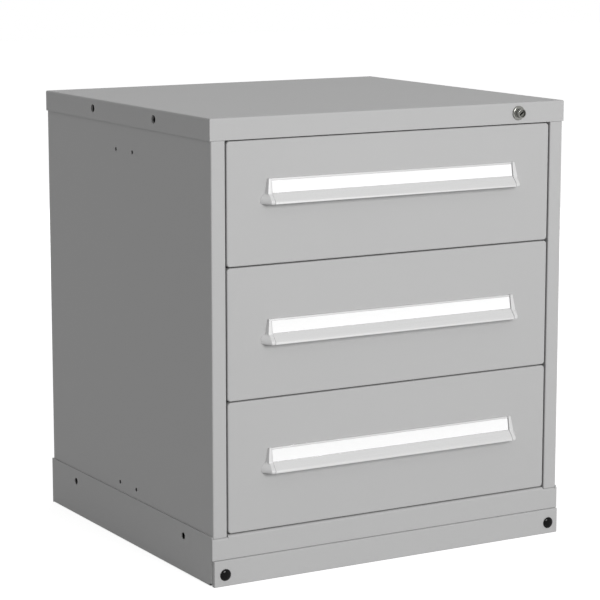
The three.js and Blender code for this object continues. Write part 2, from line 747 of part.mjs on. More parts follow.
// Cam on the plug's tail, its arm pointing down to the left at 45 degrees, with the pin that moves the bar
function lockCam() {
  const front = -bezelThickness - noseLength + lockPlugLength + seatGap;
  const back = front + camGauge;
  const hub = rodAlongY(camHubRadius, 0, [front, back], 0);
  const tip = rodAlongY(camTipRadius, -camSwing, [front, back], -camSwing);
  const arm = block([-camThrow, 0], [front, back], [-camTipRadius, camTipRadius]).rotateY(-Math.PI / 4);
  const pin = rodAlongY(camPinRadius, -camSwing, [front, back + camPinLength], -camSwing, smallHoleSides);
  const half = tailWidth / 2 + seatGap;
  const hole = block([-half, half], [front - overrun, back + overrun], [-half, half]);
  return mesh('lock_cam', cut(join(hub, tip, arm, pin), hole), zinc);
}

// Lock bar: a head that the cam's pin lifts, and a strip down behind the right stile. Its inner edge has a
// window for each drawer, and the window's lower edge rises in front of the drawer's catch.
function lockBar() {
  const y = [barSetback, barSetback + barGauge];
  const slotTop = camPinRadius + pinPlay;
  const slot = block(
    [lockOffset - camThrow - slotTop, lockOffset - camSwing + slotTop],
    [y[0] - overrun, y[1] + overrun],
    [barHeadHeightAtRest - slotTop, barHeadHeightAtRest + slotTop],
  );
  const headLeft = lockOffset - camThrow - slotTop - barHeadMargin;
  const headZ = [barHeadHeightAtRest - barHeadHeight / 2, barHeadHeightAtRest + barHeadHeight / 2];
  const windows = frontBottoms.map((bottom) => {
    const middle = bottom + slideLift;
    const z = [middle - catchDrop - catchHeight - catchGap, middle + slideHeight / 2 + windowMargin];
    return block([barInner - overrun, barInner + windowDepth], [y[0] - overrun, y[1] + overrun], z);
  });
  const lowest = Math.min(...frontBottoms) + slideLift - catchDrop - catchHeight - catchGap - hookHeight;
  const head = block([headLeft, innerHalf], y, headZ);
  const strip = block([barInner, innerHalf], y, [lowest, headZ[1]]);
  return mesh('lock_bar', cut(join(head, strip), slot, ...windows), zinc);
}

// One drawer with its slides, about the bottom edge of its front
function drawer(index) {
  const number = index + 1;
  const height = frontHeights[index];
  const slide = [...cabinetRails(number), ...carriages(number), ...drawerRails(number)];
  const grip = [handle(number), label(number), ...endCaps(number)];
  const pieces = [
    drawerFront(number, height),
    tray(number, height),
    group(slide, 0, 0, slideLift),
    group(grip, 0, frontSetback - seatGap, height - handleDrops[index]),
  ];
  return group(pieces, 0, 0, frontBottoms[index]);
}

const cabinet = group(
  [
    ...sidePanel(),
    backPanel(),
    floorPan(),
    ...topRails(),
    topCover(),
    ...baseSides(),
    ...baseRails(),
    toePlate(),
    ...toePlugs(),
    ...upright('upright_front', uprightFront),
    ...upright('upright_rear', caseBack - uprightRearSetback - uprightWidth),
    ...frontHeights.map((_, index) => drawer(index)),
    group([lockHousing(), lockNut(), lockPlug(), lockCam()], lockOffset, -seatGap, lockHeight),
    lockBar(),
  ],
  0,
  -(frontMost + baseBack) / 2,
  0,
);

const part = new THREE.Group();
part.add(cabinet);

export default part;
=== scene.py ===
"""The looks of a modular drawer cabinet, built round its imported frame.

Lengths are in millimetres, measured from the front face of the top cover (y = 0), until a mesh is written, which
moves it into the frame and turns it into metres. Places come from the boxes of the CAD nodes.
"""

import logging
import math
from dataclasses import dataclass
from enum import Enum
from typing import Sequence

import bmesh
import bpy
import numpy as np
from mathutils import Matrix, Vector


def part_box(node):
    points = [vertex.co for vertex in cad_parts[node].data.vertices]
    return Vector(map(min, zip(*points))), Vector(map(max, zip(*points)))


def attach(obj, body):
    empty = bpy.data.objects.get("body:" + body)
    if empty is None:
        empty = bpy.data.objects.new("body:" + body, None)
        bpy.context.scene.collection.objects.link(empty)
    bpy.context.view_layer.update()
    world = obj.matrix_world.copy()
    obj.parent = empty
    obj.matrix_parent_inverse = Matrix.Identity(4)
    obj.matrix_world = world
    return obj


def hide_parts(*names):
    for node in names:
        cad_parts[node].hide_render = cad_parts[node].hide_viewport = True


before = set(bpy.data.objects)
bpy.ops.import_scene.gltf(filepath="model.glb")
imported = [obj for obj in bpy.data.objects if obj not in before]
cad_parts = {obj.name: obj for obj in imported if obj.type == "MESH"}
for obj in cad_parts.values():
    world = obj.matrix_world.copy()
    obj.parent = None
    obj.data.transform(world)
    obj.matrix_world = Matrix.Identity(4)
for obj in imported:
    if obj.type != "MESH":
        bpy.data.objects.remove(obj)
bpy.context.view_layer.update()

LOG = logging.getLogger("cabinet")
MM = 0.001
SHIFT = np.array([0.0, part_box("top_cover")[0][1] / MM, 0.0])
SUPPORT = 0.4  # extra points this far from each bend keep the flats beside it flat to the light
SHARP = math.radians(35)  # edges sharper than this are shaded as edges
SOFTENED = math.radians(40)  # edges sharper than this are rounded where a piece is softened
FLAT_CORNERS = 5  # a face of so many corners or more is shaded flat
MERGED = 1e-7  # points nearer than this, in metres, become one
OVERRUN = 3.0  # how far a cutter reaches past what it cuts
POINT = 0.02  # the radius at which a turned end is closed
TIGHT = 0.05  # the least radius of a corner
NOISE_DETAIL = 2.5
NOISE_RANGE = (0.3, 0.7)  # what noise hardly ever leaves


class Side(Enum):
    """Which side of the cabinet a piece is on, as seen from the front."""

    LEFT = -1
    RIGHT = 1

    @property
    def word(self) -> str:
        """The side's name as the CAD nodes spell it."""
        return self.name.lower()


class Along(Enum):
    """The axis that a straight section is carried along, or that a turned piece is turned about."""

    X = 0
    Y = 1
    Z = 2

    @property
    def others(self) -> list[int]:
        """The two axes that the section is drawn in."""
        return [axis for axis in range(3) if axis != self.value]


class Slot(Enum):
    """The record's material slots."""

    PAINT = "paint"
    ZINC = "zinc"
    ALUMINIUM = "aluminium"
    CAP = "cap_plastic"
    LABEL = "label"
    NYLON = "black_nylon"
    CHROME = "chrome"


def pair(spread: float) -> tuple[float, float]:
    """Two places that are the spread apart, about zero."""
    return -spread / 2, spread / 2


def place_of(node: str) -> tuple[np.ndarray, np.ndarray]:
    """The box of a CAD node.

    Args:
        node: the CAD node's name.

    Returns:
        Its lowest and its highest corner in millimetres, y from the front face of the top cover.
    """
    low, high = (np.array(corner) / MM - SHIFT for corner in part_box(node))
    return low, high


@dataclass
class Surface:
    """Points in millimetres and the faces between them."""

    points: np.ndarray
    faces: list[Sequence[int]]

    def moved(self, x: float = 0.0, y: float = 0.0, z: float = 0.0) -> "Surface":
        """The same surface somewhere else.

        Args:
            x: how far it moves along X.
            y: how far it moves along Y.
            z: how far it moves along Z.

        Returns:
            A new surface, p' = p + (x, y, z).
        """
        return Surface(self.points + np.array([x, y, z]), self.faces)

    def on(self, side: Side) -> "Surface":
        """The surface as drawn for the right side, or its mirror image for the left one.

        Args:
            side: the side it is for.

        Returns:
            A new surface, p' = (side x, y, z), its faces turned round where it is mirrored.
        """
        if side is Side.RIGHT:
            return self
        return Surface(self.points * np.array([-1.0, 1.0, 1.0]), [list(face)[::-1] for face in self.faces])

    def spun(self, angle: float) -> "Surface":
        """The surface turned about the Y axis.

        Args:
            angle: how far, in radians, clockwise as seen from the front.

        Returns:
            A new surface, (x', z') = (x cos a + z sin a, z cos a - x sin a).
        """
        turn = np.array([[math.cos(angle), 0, -math.sin(angle)], [0, 1, 0], [math.sin(angle), 0, math.cos(angle)]])
        return Surface(self.points @ turn, self.faces)

    @staticmethod
    def together(*surfaces: "Surface") -> "Surface":
        """Several surfaces as one.

        Args:
            surfaces: the surfaces, each closed.

        Returns:
            One surface with all their points and faces.
        """
        starts = np.cumsum([0] + [len(each.points) for each in surfaces])
        faces = [[int(i) + int(start) for i in face] for each, start in zip(surfaces, starts) for face in each.faces]
        return Surface(np.concatenate([each.points for each in surfaces]), faces)


def loft(rings: np.ndarray, looped: bool = False) -> Surface:
    """A skin over rings of points.

    Args:
        rings: array (m, n, 3), ring i running round through n points.
        looped: whether the last ring joins the first; otherwise both ends are closed by a flat face.

    Returns:
        The surface whose quad (i, j) has corners r[i, j], r[i, j+1], r[i+1, j+1] and r[i+1, j].
    """
    count, around = rings.shape[:2]
    i = np.arange(count if looped else count - 1)[:, None]
    j = np.arange(around)[None, :]
    after_i = (i + 1) % count
    after_j = (j + 1) % around
    corners = [i * around + j, i * around + after_j, after_i * around + after_j, after_i * around + j]
    faces = np.stack(np.broadcast_arrays(*corners), axis=-1).reshape(-1, 4).tolist()
    if not looped:
        faces.append(list(range(around))[::-1])
        faces.append(list(range((count - 1) * around, count * around)))
    return Surface(rings.reshape(-1, 3), faces)


def prism(outline: np.ndarray, along: Along, start: float, end: float) -> Surface:
    """A flat outline carried straight along an axis.

    Args:
        outline: array (n, 2) in the axis's two others, in their order X, Y, Z.
        along: the axis.
        start: where it starts along the axis.
        end: where it ends.

    Returns:
        The closed surface p(i, t) = outline[i] + t axis, t from start to end.
    """
    rings = np.empty((2, len(outline), 3))
    rings[:, :, along.others] = outline
    rings[:, :, along.value] = np.array([[start], [end]])
    return loft(rings)


def block(x: Sequence[float], y: Sequence[float], z: Sequence[float]) -> Surface:
    """A box.

    Args:
        x: where it starts and ends along X.
        y: where it starts and ends along Y.
        z: where it starts and ends along Z.

    Returns:
        The closed surface with corners at every (x, y, z).
    """
    outline = np.array([[y[0], z[0]], [y[1], z[0]], [y[1], z[1]], [y[0], z[1]]], dtype=float)
    return prism(outline, Along.X, x[0], x[1])


def arc(centre: Sequence[float], radius: float, start: float, end: float, steps: int = 8) -> np.ndarray:
    """Points along an arc.

    Args:
        centre: its centre (u, v).
        radius: its radius.
        start: the angle it starts at, in degrees from +u towards +v.
        end: the angle it ends at.
        steps: how many chords it has.

    Returns:
        Array (steps + 1, 2), centre + radius (cos a, sin a).
    """
    angles = np.radians(np.linspace(start, end, steps + 1))
    return np.array(centre, dtype=float) + radius * np.stack([np.cos(angles), np.sin(angles)], axis=1)


def bezier(points: Sequence[Sequence[float]], steps: int = 12) -> np.ndarray:
    """Points along a Bezier curve of any degree.

    Args:
        points: its control points.
        steps: how many chords it has.

    Returns:
        Array (steps + 1, 2), the sum of C(n, i) t^i (1 - t)^(n - i) times control point i.
    """
    controls = np.array(points, dtype=float)
    degree = len(controls) - 1
    t = np.linspace(0.0, 1.0, steps + 1)[:, None]
    i = np.arange(degree + 1)[None, :]
    weights = np.array([math.comb(degree, k) for k in range(degree + 1)]) * t**i * (1 - t) ** (degree - i)
    return weights @ controls


def folded(path: Sequence[Sequence[float]], gauge: float, inside: float = 1.0, steps: int = 8) -> np.ndarray:
    """The outline of a folded sheet.

    Args:
        path: one face of the sheet, walked with the sheet on its left.
        gauge: the sheet's thickness.
        inside: the inside radius of every bend.
        steps: how many chords each bend has.

    Returns:
        The closed outline (n, 2). A bend of angle a about centre c has points c + r R(t a) s, t from 0 to 1, where s
        is the first spoke, and r is the inside radius on the hollow side and that plus the gauge on the other.
    """
    corners = np.array(path, dtype=float)
    steps_along = np.diff(corners, axis=0)
    ways = steps_along / np.linalg.norm(steps_along, axis=1, keepdims=True)
    lefts = np.stack([-ways[:, 1], ways[:, 0]], axis=1)
    face = [corners[:1]]
    back = [corners[:1] + gauge * lefts[:1]]
    for corner, before, after, left in zip(corners[1:-1], ways[:-1], ways[1:], lefts[:-1]):
        turn = math.atan2(before[0] * after[1] - before[1] * after[0], float(before @ after))
        radii = (inside + gauge, inside) if turn > 0 else (inside, inside + gauge)
        start = corner - before * radii[0] * math.tan(abs(turn) / 2)
        centre = start + left * math.copysign(radii[0], turn)
        spoke = (start - centre) / radii[0]
        angles = turn * np.linspace(0.0, 1.0, steps + 1)
        cos, sin = np.cos(angles), np.sin(angles)
        spokes = np.stack([spoke[0] * cos - spoke[1] * sin, spoke[0] * sin + spoke[1] * cos], axis=1)
        for side, radius in ((face, radii[0]), (back, radii[1])):
            bend = centre + radius * spokes
            side += [bend[:1] - before * SUPPORT, bend, bend[-1:] + after * SUPPORT]
    face.append(corners[-1:])
    back.append(corners[-1:] + gauge * lefts[-1:])
    return np.concatenate([np.concatenate(face), np.concatenate(back)[::-1]])


def rounded(half: Sequence[float], corner: float, profile: np.ndarray, steps: int = 6) -> np.ndarray:
    """A profile carried round a rectangle with rounded corners.

    Args:
        half: half the rectangle's size along u and v.
        corner: the radius of its corners.
        profile: array (m, 2), inset from the rectangle and depth along w.
        steps: how many chords each corner has.

    Returns:
        Rings (m, n, 3) of u, v, w. A ring at inset d has corners of radius r = max(corner - d, TIGHT) about centres at
        half - d - r.
    """
    inset = profile[:, :1]
    radius = np.maximum(corner - inset, TIGHT)
    reach = [side - inset - radius for side in half]
    rings = []
    for quarter, (way_u, way_v) in enumerate([(1, 1), (-1, 1), (-1, -1), (1, -1)]):
        angles = np.pi / 2 * (quarter + np.linspace(0.0, 1.0, steps + 1))
        angles = np.concatenate([angles[:1], angles, angles[-1:]])
        slide = np.zeros(len(angles))
        slide[0], slide[-1] = -SUPPORT, SUPPORT
        u = way_u * reach[0] + radius * np.cos(angles) - slide * np.sin(angles)
        v = way_v * reach[1] + radius * np.sin(angles) + slide * np.cos(angles)
        rings.append(np.stack([u, v, np.broadcast_to(profile[:, 1:], u.shape)], axis=-1))
    return np.concatenate(rings, axis=1)


def pan_profile(rim: float, gauge: float, inside: float) -> np.ndarray:
    """The profile of a folded pan, from its face outside, round the rim, to its face inside.

    Args:
        rim: height of the rim, the face included.
        gauge: the sheet's thickness.
        inside: the inside radius of the bend.

    Returns:
        Array (m, 2) of inset and depth: two quarter arcs about (gauge + inside, gauge + inside), and the flats.
    """
    bend = gauge + inside
    outer = arc((bend, bend), bend, 270, 180)
    inner = arc((bend, bend), inside, 180, 270)
    return np.concatenate([
        [[bend + SUPPORT, 0.0]],
        outer,
        [[0.0, bend + SUPPORT], [0.0, rim], [gauge, rim], [gauge, bend + SUPPORT]],
        inner,
        [[bend + SUPPORT, gauge]],
    ])


def turned(profile: np.ndarray, along: Along, steps: int = 48, looped: bool = False) -> Surface:
    """A piece turned on the lathe about an axis through the origin.

    Args:
        profile: array (m, 2) of radius and place along the axis.
        along: the axis.
        steps: how many sides it has.
        looped: whether the profile is closed, as for a ring.

    Returns:
        The surface p(i, a) = place[i] axis + radius[i] (cos a, sin a).
    """
    angles = 2 * np.pi * np.arange(steps) / steps
    rings = np.empty((len(profile), steps, 3))
    across = np.stack([np.cos(angles), np.sin(angles)], axis=1)
    rings[:, :, along.others] = profile[:, :1, None] * across[None, :, :]
    rings[:, :, along.value] = profile[:, 1:]
    return loft(rings, looped)


def rod(radius: float, along: Along, start: float, end: float) -> Surface:
    """A round rod about an axis through the origin.

    Args:
        radius: its radius.
        along: the axis.
        start: where it starts along the axis.
        end: where it ends.

    Returns:
        The closed surface.
    """
    return turned(np.array([[radius, start], [radius, end]]), along)


def mesh_of(name: str, surface: Surface, shift: np.ndarray) -> bpy.types.Mesh:
    """Writes a surface as a mesh in metres, its faces outwards.

    Args:
        name: the mesh's name.
        surface: the surface, all of it closed.
        shift: added to every point, in millimetres.

    Returns:
        The mesh, smooth but for edges sharper than SHARP and for faces of FLAT_CORNERS or more.
    """
    mesh = bpy.data.meshes.new(name)
    mesh.from_pydata(((surface.points + shift) * MM).tolist(), [], surface.faces)
    shell = bmesh.new()
    shell.from_mesh(mesh)
    bmesh.ops.remove_doubles(shell, verts=shell.verts, dist=MERGED)
    bmesh.ops.recalc_face_normals(shell, faces=shell.faces)
    shell.to_mesh(mesh)
    shell.free()
    mesh.polygons.foreach_set("use_smooth", [len(polygon.vertices) < FLAT_CORNERS for polygon in mesh.polygons])
    mesh.set_sharp_from_angle(angle=SHARP)
    return mesh


def add_object(name: str, data: bpy.types.ID) -> bpy.types.Object:
    """Adds an object to the scene.

    Args:
        name: its name.
        data: its mesh, lamp or camera.

    Returns:
        The object, at the origin.
    """
    added = bpy.data.objects.new(name, data)
    bpy.context.scene.collection.objects.link(added)
    return added


def without(surface: Surface, *cutters: Surface) -> Surface:
    """A surface with others cut out of it.

    Args:
        surface: what is cut.
        cutters: closed surfaces that don't touch each other.

    Returns:
        The new closed surface.
    """
    whole, tool = (
        add_object("cutting", mesh_of("cutting", each, np.zeros(3))) for each in (surface, Surface.together(*cutters))
    )
    cut = whole.modifiers.new("cut", "BOOLEAN")
    cut.operation = "DIFFERENCE"
    cut.solver = "EXACT"
    cut.object = tool
    bpy.context.view_layer.update()
    result = bpy.data.meshes.new_from_object(whole.evaluated_get(bpy.context.evaluated_depsgraph_get()))
    points = np.empty(3 * len(result.vertices))
    result.vertices.foreach_get("co", points)
    faces = [list(polygon.vertices) for polygon in result.polygons]
    spent = [whole.data, tool.data, result]
    for each in (whole, tool):
        bpy.data.objects.remove(each)
    for mesh in spent:
        bpy.data.meshes.remove(mesh)
    return Surface(points.reshape(-1, 3) / MM, faces)


def linear(hex_colour: str) -> tuple[float, float, float, float]:
    """An sRGB colour as the shaders want it.

    Args:
        hex_colour: the colour as #RRGGBB.

    Returns:
        Linear red, green and blue by the sRGB curve, and an alpha of 1.
    """
    parts = [int(hex_colour[i:i + 2], 16) / 255 for i in (1, 3, 5)]
    red, green, blue = (c / 12.92 if c <= 0.04045 else ((c + 0.055) / 1.055) ** 2.4 for c in parts)
    return red, green, blue, 1.0


def clean_tree(owner: bpy.types.ID) -> bpy.types.NodeTree:
    """Gives a material or a world an empty node tree.

    Args:
        owner: the material or the world.

    Returns:
        Its node tree.
    """
    owner.use_nodes = True
    owner.node_tree.nodes.clear()
    return owner.node_tree


def add_node(tree: bpy.types.NodeTree, kind: str, inputs: dict | None = None, **settings: object) -> bpy.types.Node:
    """Adds a node.

    Args:
        tree: the node tree.
        kind: the node's type.
        inputs: what goes into each input, by name or number: a socket to link from, or a constant.
        settings: the node's own settings.

    Returns:
        The node.
    """
    node = tree.nodes.new(kind)
    for key, value in settings.items():
        setattr(node, key, value)
    for key, value in (inputs or {}).items():
        if isinstance(value, bpy.types.NodeSocket):
            tree.links.new(value, node.inputs[key])
        else:
            node.inputs[key].default_value = value
    return node


@dataclass(frozen=True)
class Finish:
    """A surface finish: its colour, how rough it is, and the fine relief that breaks up its highlights."""

    name: str
    slot: Slot
    colour: str
    roughness: float
    metallic: float = 0.0
    grain: tuple[float, float, float] = (1.6, 1.6, 1.6)  # size of the relief along X, Y and Z in millimetres
    relief: float = 0.01  # height of the relief in millimetres
    unevenness: float = 0.03  # how far the roughness wanders either way
    shade: float = 0.985  # how dark the darkest patches are
    patch: tuple[float, float, float] = (90.0, 90.0, 90.0)  # size of the patches along X, Y and Z in millimetres
    specular: float = 0.5

    def material(self) -> bpy.types.Material:
        """The material, made when it is first asked for.

        Returns:
            A material whose patterns lie in object coordinates, so that they keep their size in millimetres.
        """
        return bpy.data.materials.get(self.name) or self._make()

    def _make(self) -> bpy.types.Material:
        """Makes the material: noise drives its tint, its roughness and its relief.

        Returns:
            The new material.
        """
        material = bpy.data.materials.new(self.name)
        tree = clean_tree(material)
        place = add_node(tree, "ShaderNodeTexCoord").outputs["Object"]
        noises = []
        for sizes in (self.grain, self.patch):
            scale = tuple(1 / (size * MM) for size in sizes)
            stretched = add_node(tree, "ShaderNodeVectorMath", {0: place, 1: scale}, operation="MULTIPLY")
            settings = {"Vector": stretched.outputs[0], "Scale": 1.0, "Detail": NOISE_DETAIL}
            noises.append(add_node(tree, "ShaderNodeTexNoise", settings))
        grain, patches = noises
        rough = add_node(tree, "ShaderNodeMapRange", {
            "Value": patches.outputs["Fac"],
            "From Min": NOISE_RANGE[0],
            "From Max": NOISE_RANGE[1],
            "To Min": self.roughness - self.unevenness,
            "To Max": self.roughness + self.unevenness,
        })
        base = linear(self.colour)
        dark = tuple(channel * self.shade for channel in base[:3]) + (1.0,)
        tint = add_node(tree, "ShaderNodeMix", {0: patches.outputs["Fac"], 6: dark, 7: base}, data_type="RGBA")
        bump = add_node(tree, "ShaderNodeBump", {
            "Height": grain.outputs["Fac"],
            "Distance": self.relief * MM,
            "Strength": 1.0,
        })
        shader = add_node(tree, "ShaderNodeBsdfPrincipled", {
            "Base Color": tint.outputs[2],
            "Metallic": self.metallic,
            "Roughness": rough.outputs["Result"],
            "Specular IOR Level": self.specular,
            "Normal": bump.outputs["Normal"],
        })
        add_node(tree, "ShaderNodeOutputMaterial", {"Surface": shader.outputs["BSDF"]})
        return material


# Light grey satin powder coat: an even tone with a faint orange peel that softens every reflection
POWDER_COAT = Finish(
    "powder_coated_steel", Slot.PAINT, "#BCBCBC", 0.5, relief=0.006, unevenness=0.008, specular=0.15
)
# Zinc-plated rolled steel: a cool, slightly cloudy sheen with rolling lines along the slide
ZINC = Finish(
    "zinc_plated_steel", Slot.ZINC, "#B4B7BA", 0.3, 1.0,
    grain=(0.25, 14.0, 0.25), relief=0.0015, unevenness=0.06, shade=0.9, patch=(18.0, 18.0, 18.0),
)
# Satin anodised aluminium: fine drawing lines along the handle, which stretch its highlights upwards
ANODISED = Finish(
    "anodised_aluminium", Slot.ALUMINIUM, "#DADADA", 0.19, 1.0,
    grain=(60.0, 0.3, 0.3), relief=0.0008, unevenness=0.02, shade=0.92, patch=(110.0, 1.3, 1.3),
)
# Light grey moulded plastic: a soft satin with the fine sparkle of an eroded mould
MOULDED = Finish("moulded_plastic", Slot.CAP, "#D8D8D8", 0.36, grain=(0.35, 0.35, 0.35), relief=0.003, shade=0.99)
# Bare white card: matt, with the slight cloudiness of paper
CARD = Finish("white_card", Slot.LABEL, "#FDFDFD", 0.75, grain=(0.4, 0.15, 0.4), relief=0.004, specular=0.2)
# Black moulded nylon: smooth and dark, so that it shows little but one small highlight
NYLON = Finish(
    "moulded_nylon", Slot.NYLON, "#040404", 0.05,
    grain=(0.5, 0.5, 0.5), relief=0.0003, unevenness=0.01, patch=(8.0, 8.0, 8.0), specular=0.14,
)
# Nickel chrome: its grey colour is a painted dark reflection of the surroundings it mirrors, with small bright streaks
# where it mirrors the lamp
CHROME = Finish(
    "nickel_chrome", Slot.CHROME, "#8C8C88", 0.14, 1.0,
    grain=(0.3, 0.3, 0.3), relief=0.0004, unevenness=0.02, shade=0.9, patch=(4.0, 4.0, 4.0),
)
# Nickel on the plug: its colour darker than the bezel's as painted shade and dark reflection of its recess, and its
# surface duller
RECESS_SHADE_NICKEL = Finish(
    "recess_shade_nickel", Slot.CHROME, "#72726E", 0.26, 1.0,
    grain=(0.3, 0.3, 0.3), relief=0.0008, unevenness=0.05, shade=0.8, patch=(3.0, 3.0, 3.0),
)


def make_piece(name: str, surface: Surface, finish: Finish, body: str, *nodes: str) -> bpy.types.Object:
    """Makes a visible piece that moves with a CAD body.

    Args:
        name: the piece's name.
        surface: its shape.
        finish: its finish.
        body: the CAD body that it rides on.
        nodes: the CAD nodes that it stands for.

    Returns:
        The object, at the origin with its place in its mesh.
    """
    piece = add_object(name, mesh_of(name, surface, SHIFT))
    piece.data.materials.append(finish.material())
    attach(piece, body)
    if nodes:
        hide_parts(*nodes)
    LOG.info("piece %s: %d faces on %s", name, len(piece.data.polygons), body)
    return piece


def refinish(finish: Finish, *nodes: str) -> None:
    """Gives CAD nodes that are shown as they are their finish.

    Args:
        finish: the finish.
        nodes: the CAD nodes' names.
    """
    for node in nodes:
        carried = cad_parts[node]
        carried.data.materials.clear()
        carried.data.materials.append(finish.material())
        LOG.info("node %s: %s", node, finish.name)


@dataclass(frozen=True)
class TopCover:
    """The folded cover: a pan turned down over the case, with holes in its rims and four dimples on top."""

    lock: tuple[float, float]
    rim: float = 40.0
    gauge: float = 1.9
    inside: float = 1.0
    corner: float = 1.0
    hole_radius: float = 8.0
    hole_spread: float = 262.8
    hole_drop: float = 19.0
    lock_hole: float = 9.7
    dimple_x: float = 222.5
    dimple_y: tuple[float, float] = (145.0, 575.0)
    dimple_radius: float = 4.0
    dimple_depth: float = 0.5

    def build(self) -> None:
        """Makes the cover."""
        low, high = place_of("top_cover")
        middle = (low + high) / 2
        half = (high - low) / 2
        rings = rounded(half[:2], self.corner, pan_profile(self.rim, self.gauge, self.inside))
        rings = rings * np.array([1, 1, -1]) + np.array([middle[0], middle[1], high[2]])
        level = high[2] - self.hole_drop
        cutters = [
            rod(self.hole_radius, Along.X, low[0] - OVERRUN, high[0] + OVERRUN).moved(y=middle[1] + way, z=level)
            for way in pair(self.hole_spread)
        ]
        cutters.append(rod(self.lock_hole, Along.Y, -OVERRUN, OVERRUN).moved(self.lock[0], 0, self.lock[1]))
        floor = self.dimple_radius - self.dimple_depth
        depth = self.dimple_depth
        bowl = np.array([[floor, -depth], [self.dimple_radius, 0.0], [self.dimple_radius + depth, depth]])
        dimple = turned(bowl, Along.Z, steps=32)
        for x in (-self.dimple_x, self.dimple_x):
            cutters += [dimple.moved(x, y, high[2]) for y in self.dimple_y]
        make_piece("cover_sheet", without(loft(rings), *cutters), POWDER_COAT, "cabinet", "top_cover")


@dataclass(frozen=True)
class SidePanels:
    """The two side panels, each folded round the front into a stile and round the back into a flange."""

    gauge: float = 1.6
    setback: float = 0.7
    stile: float = 28.5
    stile_return: float = 18.0
    flange: float = 40.0
    stile_foot: float = 90.3
    stile_top: float = 811.5
    bolt_radius: float = 4.0
    bolt_spread: float = 70.8
    bolt_levels: tuple[float, float] = (112.0, 763.0)
    rim_hole_radius: float = 8.0
    rim_hole_spread: float = 262.8
    rim_hole_level: float = 833.0

    def build(self) -> None:
        """Makes both panels."""
        low, high = place_of("side_panel_right")
        half, back = high[0], high[1]
        path = [
            (half - self.stile, self.setback + self.stile_return),
            (half - self.stile, self.setback),
            (half, self.setback),
            (half, back),
            (half - self.flange, back),
        ]
        bend = 2 * self.gauge
        wall = ([half - self.gauge, half], [self.setback + bend, back - bend])
        panel = Surface.together(
            prism(folded(path, self.gauge), Along.Z, self.stile_foot, self.stile_top),
            block(*wall, [low[2], self.stile_foot]),
            block(*wall, [self.stile_top, high[2]]),
        )
        middle = place_of("top_cover")[1][1] / 2
        through = (half - OVERRUN, half + OVERRUN)
        cutters = [
            rod(self.bolt_radius, Along.X, *through).moved(y=middle + way, z=level)
            for way in pair(self.bolt_spread)
            for level in self.bolt_levels
        ]
        cutters += [
            rod(self.rim_hole_radius, Along.X, *through).moved(y=middle + way, z=self.rim_hole_level)
            for way in pair(self.rim_hole_spread)
        ]
        panel = without(panel, *cutters)
        for side in Side:
            name = f"side_{side.word}"
            make_piece(name, panel.on(side), POWDER_COAT, "cabinet", f"side_panel_{side.word}")


@dataclass(frozen=True)
class PlugSizes:
    """Sizes of a push-in plug: a shank behind a domed head."""

    shank: float = 4.5
    head: float = 4.0
    rim: float = 10.8
    radius: float = 11.0
    edge: float = 0.4
    edge_turn: float = -60.0
    dome: tuple[tuple[float, float], ...] = ((10.2, 2.4), (7.6, 0.35), (3.8, 0.0), (POINT, 0.0))


